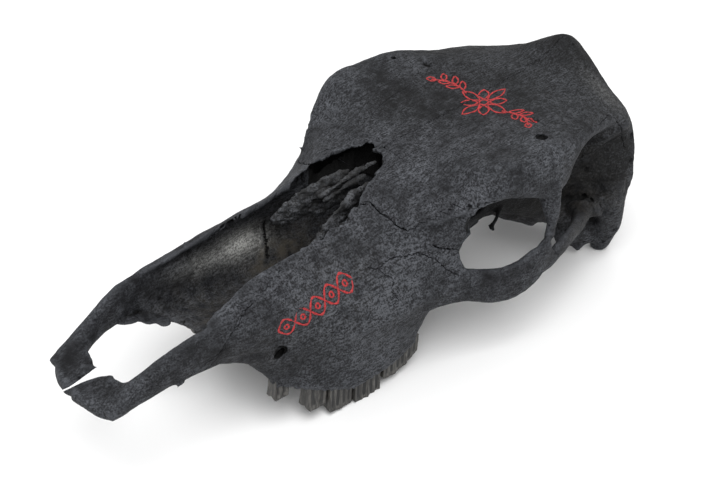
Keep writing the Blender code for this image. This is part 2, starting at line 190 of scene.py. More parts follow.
# Raised and sunken lines of the bone: sides (2 with the mirrored one), width, height and the places on the line.
RIDGES = {
    "crest of the cheek": (2, 7, 1.6, ((76, 190, 60), (80, 215, 64), (83, 240, 71), (87, 265, 80), (91, 290, 92))),
    "edge of the temple": (2, 4, 1.5, (
        (106, 366, 140), (103, 376, 165), (95, 395, 182), (86, 430, 187), (82, 478, 184),
    )),
    "second edge of the temple": (2, 3, 1.0, ((92, 410, 168), (86, 440, 172), (88, 474, 168))),
    "ridge over the socket": (2, 4, 0.9, ((96, 300, 176), (103, 330, 181), (103, 360, 184))),
    "peeled lip": (1, 2.2, 0.9, ((-41, 238, 140), (-29, 252, 152), (-25, 270, 161), (-14, 280, 166))),
    "rim of the bar": (2, 3, 0.8, ((106, 362, 160), (109, 362, 140), (110, 362, 118))),
    "rear edge of the temple": (2, 6, 4.5, (
        (86, 478, 184), (80.5, 466, 182), (76.5, 459, 176), (71.5, 456, 166), (67, 449, 152),
    )),
    "step of the far wall": (1, 2.4, 1.3, ((-52, 203, 88), (-49, 203, 79), (-46, 203, 71), (-42, 203, 60))),
}
GROOVES = {
    "groove before the brow hole": (2, 5, 0.7, ((83, 352, 190), (76, 335, 188), (66, 315, 182), (56, 296, 172))),
    "groove behind the brow hole": (2, 4, 0.5, ((84, 362, 190), (80, 384, 196), (72, 410, 200))),
    "groove before the cheek hole": (2, 4.5, 2.2, ((59, 139, 48), (55, 126, 49), (51, 112, 50))),
    "behind the step of the far wall": (1, 1.8, 1.6, (
        (-52, 206.4, 88), (-49, 206.4, 79), (-46, 206.4, 71), (-42, 206.4, 60),
    )),
    "middle suture": (1, 1.6, 0.2, ((0, 262, 160), (0, 300, 172), (0, 365, 188), (0, 445, 212), (0, 474, 232))),
}

# The zigzag lines where bones meet: the plane in which each lies, its sides, its reach and its places.
SUTURES = {
    "brow": ("x", 1, (-FAR, FAR), (
        (190, 210), (214, 152), (221, 138.5), (232, 142.7), (235.2, 137), (239.3, 134.1), (242, 130.3), (246, 129.3),
        (251.7, 134.6), (263.5, 142), (271.9, 147.6), (279, 154), (286, 156), (290, 150), (291, 125), (292, 98.8),
        (294, 60), (300, 20), (304, -60),
    )),
    "snout": ("x", 1, (-FAR, FAR), (
        (46, -60), (56, 30), (70, 42), (83, 50), (92, 60), (100, 76), (107, 85), (117, 92), (133, 100), (149, 108),
        (160, 130), (164, 200),
    )),
    "nape": ("x", 1, (-FAR, FAR), ((540, 206), (486, 199), (478, 180), (472, 140), (462, 100), (458, -60))),
    "tear": ("x", 2, (30, FAR), ((292, 99), (326, 99))),
    "roof": ("x", 1, (-FAR, FAR), ((291.5, 100), (305, 112), (335, 121), (385, 121), (430, 142), (479, 181))),
    "arch": ("x", 2, (92, FAR), ((377, 70), (381, 92), (371, 104), (374, 117))),
}

# Fine cracks and squiggly seams that don't go through the bone: sides, depth, width and places.
CRACKS = {
    "notch plate": (1, 1.6, 1.2, (
        (-5.2, 273.7, 164.2), (1.2, 273.6, 164.5), (6.6, 274.7, 164.5), (11.6, 274.6, 164), (17.2, 274.3, 163.4),
        (24, 276, 162),
    )),
    "notch line": (1, 1.5, 0.9, (
        (-18, 278.9, 164.9), (-11.7, 279.3, 165.9), (-5, 281, 166.8), (-3.3, 285.9, 168.3), (-0.7, 290, 169.5),
    )),
    "brow seam": (2, 3.0, 1.3, (
        (30.4, 220.4, 138), (34.9, 231.7, 142.7), (45.9, 235.2, 137), (52.3, 239.3, 134), (58.1, 242, 130.3),
        (65, 246, 129.3), (69.8, 251.7, 134.6),
    )),
    "tear notch": (2, 6.0, 2.2, ((79, 260, 121), (82.5, 264.7, 118.7), (85.3, 271.9, 117.4), (89, 280, 116))),
    "cheek seam": (2, 2.4, 1.3, (
        (60.6, 213.2, 104.6), (65.9, 221, 102.9), (64, 228, 107), (67.4, 234.4, 111.1), (71.4, 241.4, 111.8),
        (76.3, 250.4, 114.5), (81.5, 258.4, 111.1), (84.3, 264.5, 108.3), (87.3, 273, 99.8), (91, 284, 94),
    )),
    "cheek squiggle": (2, 2.0, 1.2, (
        (65.9, 221, 102.9), (70.4, 224.9, 99.1), (74.4, 230.1, 95.9), (76.5, 227.7, 88.9), (79, 233, 80),
    )),
    "forehead seam": (1, 1.8, 1.0, ((0, 262, 166), (-0.3, 285.6, 168.3), (0.2, 306, 173.4), (-1.7, 346, 183))),
    "forehead rear seam": (1, 1.8, 1.1, ((-2.8, 431, 207), (-1.6, 441, 211), (0.5, 452, 216), (0, 468, 229))),
    "peeled edge": (1, 2.6, 1.5, (
        (-44, 236, 139), (-42.4, 242, 144.1), (-30.9, 254.9, 154.6), (-27.4, 276.9, 163.4), (-15, 282.3, 166.5),
    )),
    "edge of the temple": (2, 2.6, 1.3, (
        (86, 425, 190), (80, 447.7, 194.8), (80.5, 464.6, 183), (82, 472, 173), (85, 478, 160),
    )),
    "far forehead line": (1, 1.3, 0.5, ((-42, 300, 160), (-48, 320, 168), (-50, 345, 176), (-58, 362, 184))),
    "arch line": (2, 1.8, 0.7, ((113, 352, 118), (114.5, 350, 110), (115, 346, 103), (114, 342, 94))),
    "snout line": (2, 2.4, 1.4, (
        (50, 60, 42), (50, 76, 52), (49, 90, 61), (49, 100, 76), (47, 108, 84), (44, 120, 92),
    )),
    "cheek line": (2, 1.2, 0.5, ((64, 160, 60), (66, 172, 64), (67, 186, 62), (70, 196, 66))),
    "forehead hairline": (1, 1.2, 0.4, ((-15, 282, 167), (-12, 292, 170), (-9, 300, 172), (-13, 309, 174))),
}

# The jagged top of the nose's opening on each side, as places of x and y from the rear forwards.
NOSE_EDGE_RIGHT = (
    (-4, 272), (-16, 271), (-23, 260), (-27, 251), (-34, 238), (-35, 224), (-33, 208), (-32, 190), (-31.8, 165),
)
NOSE_EDGE_LEFT = ((-4, 266), (4, 269), (9, 264), (18, 247), (22, 238), (30, 226), (32, 208), (33, 190), (33.6, 165))
NOSE_FRONT = ((-31.5, 118), (31.5, 118))
NOSE_CUT_HEIGHT = 80
# The height from which the opening is cut, at places along it.
NOSE_EDGE_DEPTHS = ((118, 165, 200, 240, 262, 272), (88, 104, 114, 134, 146, 154))

MIDDLE_SUTURE = ("z", 1, (-FAR, FAR), ((0, -40), (0, 120), (0, 300), (0, 380), (0, 460), (0, 560)))

# A seed of each bone, by which a loose part is named. The middle suture halves some of them, and two have no sides.
BONE_SEEDS = {
    "frontal": (0, 370, 165),
    "braincase": (0, 420, 105),
    "occipital": (0, 487, 112),
    "maxilla": (0, 201, 66),
    "premaxilla": (0, 51, 51),
    "zygomatic": (105, 332, 88),
}
HALVED = ("frontal", "maxilla")
SINGLE = ("braincase", "occipital")
BONE_COUNT = 10


def stretches(track, step):
    """Each stretch of a track: its start, its run to the next place and the number of steps in it."""
    places = [Vector(p) for p in track]
    for a, b in zip(places, places[1:]):
        yield a, b - a, max(1, round((b - a).length / step))


def wavy(track, wave, step, seed):
    """A track with a zigzag laid over it."""
    out = [Vector(track[0])]
    for a, along, count in stretches(track, step):
        side = along.normalized().orthogonal()
        for i in range(1, count + 1):
            t = i / count
            lift = noise.noise(Vector((seed + len(out) * 0.77, 0.3, 0.1))) * wave
            lift += wave * 0.5 * (-1) ** len(out)
            out.append(a + along * t + side * lift * (0 if i == count else 1))
    return out


def closed_object(name, bm):
    """An object of a closed body whose faces are cut into triangles that point outwards."""
    bmesh.ops.triangulate(bm, faces=bm.faces)
    bmesh.ops.recalc_face_normals(bm, faces=bm.faces)
    return new_object(name, bm)


def join_rings(bm, rings):
    """Closes a row of rings of vertices into a tube with two ends."""
    for before, after in zip(rings, rings[1:]):
        for k, vert in enumerate(before):
            following = (k + 1) % len(before)
            bm.faces.new((vert, before[following], after[following], after[k]))
    bm.faces.new(rings[0])
    bm.faces.new(rings[-1][::-1])


def extruded(name, corners, shift):
    """A closed body from an outline, pulled along a shift."""
    bm = bmesh.new()
    face = bm.faces.new([bm.verts.new(p) for p in corners])
    grown = bmesh.ops.extrude_face_region(bm, geom=[face])
    top = [v for v in grown["geom"] if isinstance(v, bmesh.types.BMVert)]
    bmesh.ops.translate(bm, verts=top, vec=shift)
    return closed_object(name, bm)


# The length of one zigzag of a suture.
SUTURE_STEP = 2.6


def slab(name, plane, track, reach, gap, wave, seed):
    """A thin wall along a zigzag line, drawn in a plane across x or z and extruded along that axis."""
    places = wavy(track, wave, SUTURE_STEP, seed)
    there = []
    back = []
    for i, place in enumerate(places):
        before = place - places[i - 1] if i > 0 else places[1] - place
        after = places[i + 1] - place if i + 1 < len(places) else before
        normal = (before.normalized() + after.normalized()).normalized().orthogonal()
        there.append(place + normal * gap / 2)
        back.append(place - normal * gap / 2)
    low, high = reach
    outline = there + back[::-1]
    if plane == "x":
        return extruded(name, [(low, *p) for p in outline], (high - low, 0, 0))
    return extruded(name, [(*p, low) for p in outline], (0, 0, high - low))


def mirrored(obj):
    """The same body on the animal's right side."""
    bm = bmesh.new()
    bm.from_mesh(obj.data)
    bmesh.ops.transform(bm, matrix=Matrix.Diagonal((-1, 1, 1, 1)), verts=bm.verts)
    bmesh.ops.reverse_faces(bm, faces=bm.faces)
    return new_object(obj.name + "_right", bm)


def on_sides(obj, sides):
    """The object, and its mirrored copy where it belongs on both sides."""
    return [obj, mirrored(obj)] if sides == 2 else [obj]


def jagged(track, step, size, seed):
    """A track broken into short uneven steps to both sides."""
    out = []
    for a, along, count in stretches(track, step):
        side = along.normalized().orthogonal()
        for i in range(count):
            at = a + along * i / count
            t = noise.noise(Vector((at.x * 0.13 + seed, at.y * 0.13, 0))) * 2.2
            t += noise.noise(Vector((at.x * 0.45 + seed, at.y * 0.45, 7))) * 0.9
            out.append(at + side * t * size)
    return out + [Vector(track[-1])]


def nose_opening():
    """The space above the nose, with broken edges."""
    right = jagged(NOSE_EDGE_RIGHT, step=1.5, size=1.6, seed=3.0)
    left = jagged(NOSE_EDGE_LEFT, step=1.5, size=1.3, seed=11.0)
    corners = left[::-1] + right + [Vector(p) for p in NOSE_FRONT]
    corners = [(*p, float(np.interp(p.y, *NOSE_EDGE_DEPTHS))) for p in corners]
    return extruded("nose_opening", corners, (0, 0, NOSE_CUT_HEIGHT))


# The slanting slit between the two front bones, at the height of their middle.
SNOUT_SLIT = (
    (10.4, -34), (6.2, -3.2), (1.2, 10.7), (-4.2, 26), (-12, 66), (11, 66), (8.3, 28.7), (6.4, 22), (6.3, 10),
    (8.2, -2.7), (12.6, -34),
)
SNOUT_SLIT_HEIGHT = 40
SNOUT_SLIT_SLANT = Vector((1.17, -0.8, 1.0))
SNOUT_SLIT_BELOW = 28
SNOUT_SLIT_ABOVE = 11


def snout_slit():
    """The slit between the front bones, slanting down to the animal's right."""
    low = SNOUT_SLIT_SLANT * SNOUT_SLIT_BELOW
    high = SNOUT_SLIT_SLANT * SNOUT_SLIT_ABOVE
    corners = [(x - low.x, y - low.y, SNOUT_SLIT_HEIGHT - low.z) for x, y in SNOUT_SLIT]
    return extruded("snout_slit", corners, low + high)


# A crack's step along its line, its shift to the sides, its reach above the bone and half its width at the bottom.
CRACK_STEP = 1.3
CRACK_SHAKE = 1.6
CRACK_ABOVE = 1.5
CRACK_BOTTOM = 0.12


def crack(tree, name, depth, width, track, seed):
    """A V-shaped wall that follows a line over the surface and reaches into the bone."""
    path = [a + along * i / count for a, along, count in stretches(track, CRACK_STEP) for i in range(count)]
    path.append(Vector(track[-1]))
    bm = bmesh.new()
    rows = []
    for i, point in enumerate(path):
        hit, normal, _, _ = tree.find_nearest(point)
        along = (path[min(i + 1, len(path) - 1)] - path[max(i - 1, 0)]).normalized()
        side = along.cross(normal).normalized()
        hit = hit + side * (noise.noise(Vector((i * 0.83 + seed, seed, 0))) * CRACK_SHAKE)
        fade = min(1, (i + 1) / 4, (len(path) - i) / 4)
        half = width / 2 * (0.35 + 0.65 * fade) * (1 + 0.6 * noise.noise(Vector((i * 0.37, seed, 5))))
        deep = depth * (0.3 + 0.7 * fade)
        top = hit + normal * CRACK_ABOVE
        bottom = hit - normal * deep
        spots = (top + side * half, top - side * half, bottom - side * CRACK_BOTTOM, bottom + side * CRACK_BOTTOM)
        rows.append([bm.verts.new(p) for p in spots])
    join_rings(bm, rows)
    return closed_object(name, bm)


def all_cracks(skull):
    tree = surface_tree(skull)
    bodies = []
    for number, (name, (sides, depth, width, track)) in enumerate(CRACKS.items()):
        bodies += on_sides(crack(tree, name, depth, width, track, number * 5.3), sides)
    return bodies


def surface_tree(*objects, matrix=Matrix()):
    """A search tree of the objects' surfaces, moved by a matrix."""
    probe = bmesh.new()
    for obj in objects:
        probe.from_mesh(obj.data)
    bmesh.ops.transform(probe, matrix=matrix, verts=probe.verts)
    tree = BVHTree.FromBMesh(probe)
    probe.free()
    return tree


def ball(name, centre, size, away):
    """A lumpy oval body, its third size along the given direction."""
    bm = bmesh.new()
    bmesh.ops.create_icosphere(bm, subdivisions=3, radius=1.0)
    for vert in bm.verts:
        vert.co *= 1 + 0.16 * noise.noise(vert.co * 1.7 + Vector(centre))
    bmesh.ops.scale(bm, vec=size, verts=bm.verts)
    turn = Vector((0, 0, 1)).rotation_difference(Vector(away)).to_matrix()
    bmesh.ops.rotate(bm, matrix=turn, verts=bm.verts)
    bmesh.ops.translate(bm, vec=centre, verts=bm.verts)
    return new_object(name, bm)


# Small spurs of bone, as chains of places and thicknesses.
SPURS = (
    (((46, 380, 118), 3.0), ((50.5, 371, 107.6), 2.3), ((51.8, 366.1, 99.8), 2.0), ((51.3, 363.2, 96.4), 2.6)),
    (((51.3, 363.2, 96.4), 2.2), ((54.8, 364.7, 94.6), 1.6)),
    (((-46, 380, 118), 3.0), ((-50.5, 371, 107.6), 2.3), ((-51.3, 363.2, 96.4), 2.6)),
    (((-10, 16, 39), 3.0), ((-6, 21.5, 40), 2.4), ((-2.6, 25.6, 40.5), 1.0)),
    (((18, 22, 41), 3.0), ((12, 26.5, 41.5), 2.2), ((7.8, 28.6, 42), 1.0)),
    (((46, 64, 45), 1.8), ((46.4, 60, 43.2), 1.2), ((46.2, 57.2, 41.4), 0.5)),
    (((-65, 256, 138), 2.4), ((-69.5, 251.5, 137.4), 1.5), ((-71.5, 249.6, 138), 1.0)),
    (((-34.5, 123, 99), 1.9), ((-36.5, 118.5, 100), 1.5), ((-37, 115.8, 100.6), 0.9)),
)

# Thin plates at the front of the palate: centre and size.
PLATES = (
    ((5, 113, 46.5), (8, 9, 2.0)), ((13, 109, 46.5), (7, 7.5, 2.0)), ((21, 113, 47), (9, 10, 3.0)),
    ((11.5, 103, 46.5), (2.6, 4.2, 1.4)), ((1.5, 106, 46.5), (3.2, 3.4, 1.4)), ((-12, 107, 46.5), (6, 4, 1.5)),
    ((-37, 73, 46), (6.5, 12, 2.2)), ((-31, 85, 46.5), (9, 8, 2.0)), ((-22, 93, 46.5), (7, 6, 2.0)),
)

# The solids' plain round holes of the brow and cheek are closed here, and finer slanting ones are cut.
PLAIN_HOLES = ((61.5, 377, 188), (51, 144, 47.5))
PLUG_RADIUS = 5.0
HOLES = (
    ((85, 356, 196), (5.2, 4.6, 9), (0.15, -0.75, 1.0)),
    ((-84, 357, 195), (2.4, 2.0, 6), (-0.15, -0.75, 1.0)),
    ((56, 141, 47.5), (2.8, 4.6, 9), (0.8, -1.3, 0.15)),
    ((-56, 141, 47.5), (2.8, 4.6, 9), (-0.8, -1.3, 0.15)),
    ((-13.3, 420.8, 204.7), (0.9, 0.9, 2), (0, -0.3, 1)),
    ((-5.5, 433, 207.8), (0.8, 1.1, 2), (0, -0.3, 1)),
    ((72.2, 456, 115), (2.0, 2.0, 5), (1, -0.5, 0.2)),
    ((80.8, 455.5, 114.7), (1.5, 1.5, 5), (1, -0.5, 0.2)),
    ((-72.2, 456, 115), (2.0, 2.0, 5), (-1, -0.5, 0.2)),
    ((71, 452, 139), (3.4, 2.4, 4), (1, -0.6, 0.3)),
    ((60, 430, 128), (3.0, 4.0, 4), (1, -0.3, 0.3)),
    ((94, 288.5, 141), (8.5, 8.5, 15), (0.1, 0, 1)),
    ((-94, 288.5, 141), (8.5, 8.5, 15), (-0.1, 0, 1)),
)

# Places where the broken edges have lost a chip: centre and size. One further than this from bone is left out.
CHIP_REACH = 14
CHIPS = (
    ((-3, 12, 36), 3.2), ((8.5, 33, 44), 3.4), ((12.5, 30.5, 41), 2.6), ((-8, 32, 38), 3.0), ((-14, 37, 40), 2.4),
    ((-14, 105, 47), 3.4), ((-6, 103, 46), 4.4), ((1.5, 104, 46), 4.6), ((12, 106, 42), 2.8),
    ((20, 104, 44), 3.8), ((-24, 103, 52), 3.0), ((-31, 100, 58), 2.6), ((-39, 252, 148), 1.6),
    ((30, 224, 140), 2.0), ((24, 240, 150), 1.7), ((34, 178, 120), 1.6), ((-45, 215, 128), 1.8),
    ((-41, 185, 121), 1.5), ((-43, 160, 113), 1.6), ((91, 280, 154), 2.4), ((95, 284, 157), 1.8),
    ((99, 288, 159), 2.2), ((102, 294, 160), 1.7), ((103, 303, 160), 2.4), ((105, 311, 159.5), 1.8),
    ((106, 318, 160), 2.4), ((106, 327, 158), 1.7), ((105, 338, 155), 2.6), ((106, 349, 151), 2.0),
    ((-98, 288, 159), 2.2), ((-104, 305, 160), 2.2), ((-106, 322, 159), 2.0), ((-105, 338, 155), 2.4),
    ((71, 476, 62), 3.0), ((75.6, 484.5, 63), 2.6), ((81.5, 489, 64), 3.4), ((88, 491, 70), 3.0),
    ((92, 488, 82), 3.6), ((-73, 480, 62), 3.0), ((-82, 489, 64), 3.4), ((-91, 489, 78), 3.6),
    ((63, 455, 76), 2.6), ((61, 446, 84), 2.0), ((14, 474, 232), 2.0), ((-18, 473, 231), 1.8),
    ((44, 474, 214), 2.2), ((-50, 474, 212), 2.0), ((88, 486, 172), 3.2),
    ((92, 486, 150), 3.0), ((-92, 486, 158), 3.2), ((94, 484, 120), 2.6), ((112, 356, 130), 1.6),
)


def chipped(skull):
    """Irregular bites out of the nearest edges."""
    tree = surface_tree(skull)
    bites = []
    for number, (place, size) in enumerate(CHIPS):
        hit, normal, _, far = tree.find_nearest(Vector(place))
        if far > CHIP_REACH:
            continue
        bm = bmesh.new()
        bmesh.ops.create_icosphere(bm, subdivisions=1, radius=size)
        for vert in bm.verts:
            vert.co *= 1 + 0.5 * noise.noise(vert.co * 0.6 + Vector((number * 3.1, 0, 0)))
        bmesh.ops.translate(bm, vec=hit + normal * size * 0.25, verts=bm.verts)
        bites.append(new_object(f"chip_{number}", bm))
    cut_away(skull, bites)


# The hollow's front, its greatest reach back, and its right and left edges at places along it.
ROOF_FRONT_Y = 212
ROOF_REAR_Y = 291
ROOF_RIGHT = ((212, 245, 262, 275), (-39.5, -39.5, -36, -32))
ROOF_LEFT = ((212, 250, 262, 275), (20, 21, 22, 22))


def roof_space(tree):
    """The hollow below the front edge of the forehead, which leaves a thin shell of bone above it."""
    bm = bmesh.new()
    bmesh.ops.create_grid(bm, x_segments=44, y_segments=36, size=1.0)
    grown = bmesh.ops.extrude_face_region(bm, geom=bm.faces[:])
    under = {v for v in grown["geom"] if isinstance(v, bmesh.types.BMVert)}
    for vert in bm.verts:
        rear = ROOF_REAR_Y - 0.019 * (24.0 * vert.co.x + 1) ** 2
        y = ROOF_FRONT_Y + (rear - ROOF_FRONT_Y) * (0.5 + 0.5 * vert.co.y)
        right = float(np.interp(y, *ROOF_RIGHT))
        left = float(np.interp(y, *ROOF_LEFT))
        x = right + (left - right) * (0.5 + 0.5 * vert.co.x)
        base = 119 + 0.12 * (y - ROOF_FRONT_Y)
        if vert in under:
            vert.co = (x, y, base)
            continue
        hit = tree.ray_cast(Vector((x, y, OVERHEAD_Z)), Vector((0, 0, -1)))[0]
        roof = 164 + 0.35 * (y - 270) - 0.006 * x * x
        if hit and hit.z > base + 10:
            roof = min(roof, hit.z)
        shell = 2.0 + 1.1 * noise.noise(Vector((x * 0.2, y * 0.2, 3)))
        vert.co = (x, y, roof - shell)
    return closed_object("roof_space", bm)


def add_chain(bm, chain):
    """A row of round tapering links through places of a given thickness."""
    for (start, wide), (end, thin) in zip(chain, chain[1:]):
        along = Vector(end) - Vector(start)
        turn = Vector((0, 0, 1)).rotation_difference(along).to_matrix().to_4x4()
        middle = Matrix.Translation((Vector(start) + Vector(end)) / 2)
        bmesh.ops.create_cone(
            bm, cap_ends=True, segments=9, radius1=wide, radius2=thin, depth=along.length + 0.6, matrix=middle @ turn
        )


def frame_copy(names):
    """One mesh of merged copies of the frame's bodies, in the skull's own measure."""
    bm = bmesh.new()
    for name in names:
        bm.from_mesh(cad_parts[name].data)
    bmesh.ops.remove_doubles(bm, verts=bm.verts, dist=1e-6)
    bmesh.ops.transform(bm, matrix=TO_SKULL, verts=bm.verts)
    return bm


def fuse(obj, voxel, rounds):
    """Melts overlapping bodies into one even surface and smooths it."""
    remesh = obj.modifiers.new("fused", "REMESH")
    remesh.mode = "VOXEL"
    remesh.voxel_size = voxel
    smooth = obj.modifiers.new("eased", "SMOOTH")
    smooth.factor = 0.5
    smooth.iterations = rounds
    apply_modifiers(obj)


def merged_bones():
    """A fine single surface melted from all the frame's bones but the blades, with spurs and plates added."""
    bm = frame_copy(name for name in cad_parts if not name.startswith("turbinate"))
    for spur in SPURS:
        add_chain(bm, spur)
    for centre, size in PLATES:
        place = Matrix.Translation(centre) @ Matrix.Diagonal((*size, 1))
        bmesh.ops.create_icosphere(bm, subdivisions=2, radius=1.0, matrix=place)
    for side in (-1, 1):
        for place in PLAIN_HOLES:
            plug = Matrix.Translation((side * place[0], *place[1:]))
            bmesh.ops.create_icosphere(bm, subdivisions=2, radius=PLUG_RADIUS, matrix=plug)
    skull = new_object("skull", bm)
    fuse(skull, bpy.context.scene.skull_sizes.step * MM_PER_M, 8)
    return skull


# The upper cheek teeth: start, length, x of the outer face, width and height of the tip.
TEETH = {
    "premolar_2": (143, 13, 57, 11, 5),
    "premolar_4": (168, 17, 70, 14, -6),
    "molar_1": (186, 23, 74, 15, -11),
    "molar_2": (210, 27, 76, 16, -9),
    "molar_3": (238, 35, 76, 15, 3),
}
GUM_LINE = ((136, 17), (150, 16), (164, 14), (186, 9), (207, 6), (228, 14), (250, 20), (280, 30), (300, 40))


def gum_height(y):
    return float(np.interp(y, *zip(*GUM_LINE)))


def tooth_space():
    """The space below the scalloped edge of the tooth sockets, on the left side."""
    inner = 36
    corners = [(inner, y, gum_height(y) + 1.2 * math.sin(y * 0.9)) for y in range(138, 297, 3)]
    corners = [(inner, 138, -60), *corners, (inner, 294, -60)]
    return extruded("tooth_space", corners, (60, 0, 0))


def sculpt(skull):
    """Raises ridges, sinks grooves and roughens the surface."""
    mesh = skull.data
    points = coordinates(mesh)
    folded = points.copy()
    folded[:, 0] = np.abs(points[:, 0])
    lift = np.zeros(len(points))
    for table, sign in ((RIDGES, 1), (GROOVES, -1)):
        for sides, width, height, track in table.values():
            place = folded if sides == 2 else points
            lift += sign * height * np.exp(-((track_distance(place, track) / width) ** 2))
    lift += 0.9 * turbulence(points, (0.035, 0.035, 0.035), 4, 4.0)
    lift += 0.12 * turbulence(points, (0.3, 0.1, 0.3), 3, 9.0)
    rough = patches(points, ROUGH)
    lift += 1.8 * rough * turbulence(points, (0.11, 0.07, 0.13), 4, 23.0)
    raise_surface(mesh, lift)


# Places where the surface is uneven: sides, centre, reach and strength.
ROUGH = (
    (2, (66, 440, 130), (34, 34, 42), 1.0),
    (2, (60, 440, 80), (40, 40, 40), 0.7),
    (1, (0, 500, 120), (70, 20, 70), 0.6),
    (1, (-8, 250, 140), (30, 26, 18), 0.7),
    (2, (85, 262, 115), (14, 16, 14), 0.5),
)


def suture_walls(table):
    sizes = bpy.context.scene.skull_sizes
    gap = sizes.suture_gap * MM_PER_M
    wave = sizes.suture_wave * MM_PER_M
    walls = []
    for number, (name, (plane, sides, reach, track)) in enumerate(table.items()):
        walls += on_sides(slab(name, plane, track, reach, gap, wave, number * 13.7), sides)
    return walls


# A loose body with fewer vertices than this is a crumb, and is removed.
CRUMB = 1500


def loose_parts(obj):
    """The separate bodies of an object, as objects, without crumbs."""
    bpy.ops.object.select_all(action="DESELECT")
    bpy.context.view_layer.objects.active = obj
    obj.select_set(True)
    bpy.ops.object.mode_set(mode="EDIT")
    bpy.ops.mesh.select_all(action="SELECT")
    bpy.ops.mesh.separate(type="LOOSE")
    bpy.ops.object.mode_set(mode="OBJECT")
    kept = []
    for part in list(bpy.context.selected_objects):
        if len(part.data.vertices) < CRUMB:
            bpy.data.objects.remove(part)
        else:
            kept.append(part)
    return kept


def nearest_bone(middle):
    """The bone whose seed lies nearest to a place, seen from the side."""
    return min(BONE_SEEDS, key=lambda name: (middle.yz - Vector(BONE_SEEDS[name]).yz).length)


def parted(skull):
    """Cuts the skull along its sutures into named bones."""
    cut_away(skull, suture_walls(SUTURES))
    bones = {}
    for part in loose_parts(skull):
        name = nearest_bone(Vector(coordinates(part.data).mean(0)))
        if name in HALVED:
            cut_away(part, suture_walls({"middle": MIDDLE_SUTURE}))
        for piece in loose_parts(part) if name in HALVED else [part]:
            side = "left" if coordinates(piece.data)[:, 0].mean() > 0 else "right"
            bones[name if name in SINGLE else f"{name}_{side}"] = piece
    return bones


def store(mesh, name, values):
    attribute = mesh.attributes.new(name, "FLOAT", "POINT")
    attribute.data.foreach_set("value", np.asarray(values, np.float32))


# Patches of the surface, each with sides, centre, reach and strength: painted shade in the sockets, the temple
# hollows, the nose and at the rear, which also gives a darker tone to the forehead and the lower snout; painted
# highlights; dust; and brown stains.
SHADE = (
    (2, (70, 440, 120), (34, 40, 56), 0.8),
    (2, (56, 366, 112), (36, 34, 30), 0.85),
    (2, (52, 388, 106), (24, 44, 24), 0.9),
    (2, (88, 478, 155), (16, 14, 26), 0.9),
    (2, (76, 462, 148), (18, 18, 26), 0.6),
    (1, (-48, 217, 85), (12, 11, 12), 0.8),
    (1, (-8, 262, 132), (30, 34, 22), 0.9),
    (1, (-6, 400, 205), (84, 90, 44), 0.72),
    (1, (-40, 320, 165), (34, 44, 34), 0.45),
    (1, (0, 478, 215), (84, 30, 40), 0.65),
    (1, (0, 190, 60), (40, 60, 30), 0.25),
    (1, (30, 60, 40), (30, 40, 30), 0.35),
    (2, (60, 168, 42), (24, 34, 20), 0.4),
)
# Painted highlights, brightest on the far inner wall of the nose.
HIGHLIGHT_PATCHES = (
    (1, (-48, 182, 78), (10, 22, 11), 1.0),
    (1, (-44, 140, 74), (12, 24, 9), 0.35),
    (2, (54, 470, 205), (30, 12, 14), 0.15),
)
DUST = (
    (2, (70, 240, 90), (22, 45, 26), 0.8),
    (2, (85, 290, 150), (20, 26, 20), 0.7),
    (2, (50, 190, 92), (16, 30, 16), 0.6),
    (1, (0, 420, 205), (60, 30, 20), 0.4),
    (2, (78, 230, 30), (14, 30, 20), 0.5),
)
BROWN = (
    (2, (60, 430, 130), (50, 46, 40), 0.8),
    (1, (0, 215, 70), (46, 50, 34), 0.9),
    (1, (-38, 217, 64), (18, 22, 14), 1.0),
    (1, (-20, 215, 50), (26, 24, 14), 1.0),
    (1, (0, 130, 52), (40, 34, 20), 0.5),
)


def patches(points, table):
    total = np.zeros(len(points))
    for sides, centre, reach, strength in table:
        place = points.copy()
        if sides == 2:
            place[:, 0] = np.abs(place[:, 0])
        far = (((place - centre) / reach) ** 2).sum(1)
        total += strength * np.exp(-far)
    return total.clip(0, 1)


# How much a curve of the surface counts as hollow. A cut surface takes painted shade from CUT_START down, over the
# depth of CUT_RANGE.
HOLLOW_GAIN = 8
CUT_START = 0.12
CUT_RANGE = 1.2


def hollowness(mesh):
    """How hollow the surface is at each vertex, from -1 on sharp edges to 1 in deep grooves."""
    points = coordinates(mesh)
    ends = rows_of(mesh.edges, "vertices", 2, np.int64)
    hollow = ((neighbour_mean(ends, points) - points) * rows_of(mesh.vertex_normals, "vector")).sum(1)
    for _ in range(4):
        hollow = 0.5 * hollow + 0.5 * neighbour_mean(ends, hollow)
    return (hollow * HOLLOW_GAIN).clip(-1, 1)


def weather(mesh, before=None):
    """Stores how hollow the surface is, its dust and brown stains, its painted shade and darker tone, its painted
    highlights, and how deep a vertex lies below the uncut surface.

    The uncut surface is given by its search tree, a vertex of each of its faces and its hollowness.
    """
    points = coordinates(mesh)
    if before is None:
        hollow = hollowness(mesh)
        depth = np.zeros(len(points))
    else:
        tree, corners, uncut = before
        hollow = np.empty(len(points))
        depth = np.empty(len(points))
        for i, point in enumerate(points):
            _, _, face, far = tree.find_nearest(Vector(point))
            hollow[i] = uncut[corners[face]]
            depth[i] = far
    store(mesh, "hollow", hollow)
    store(mesh, "depth", ((depth - CUT_START) / CUT_RANGE).clip(0, 1))
    for name, table in (("dust", DUST), ("brown", BROWN), ("shade", SHADE), ("pale", HIGHLIGHT_PATCHES)):
        store(mesh, name, patches(points, table))


def add_node(tree, kind, **values):
    node = tree.nodes.new(kind)
    for key, value in values.items():
        if key.startswith("in_"):
            node.inputs[key[3:].replace("_", " ")].default_value = value
        else:
            setattr(node, key, value)
    return node


def feed(tree, socket, value):
    """Links another node's output to an input, or sets the input's own value or colour."""
    if isinstance(value, bpy.types.NodeSocket):
        tree.links.new(value, socket)
    elif isinstance(value, (int, float)):
        socket.default_value = value
    else:
        socket.default_value = (*value, 1.0)


def mix(tree, factor, a, b):
    """A colour between a and b."""
    node = add_node(tree, "ShaderNodeMix", data_type="RGBA")
    for index, value in ((0, factor), (6, a), (7, b)):
        feed(tree, node.inputs[index], value)
    return node.outputs[2]


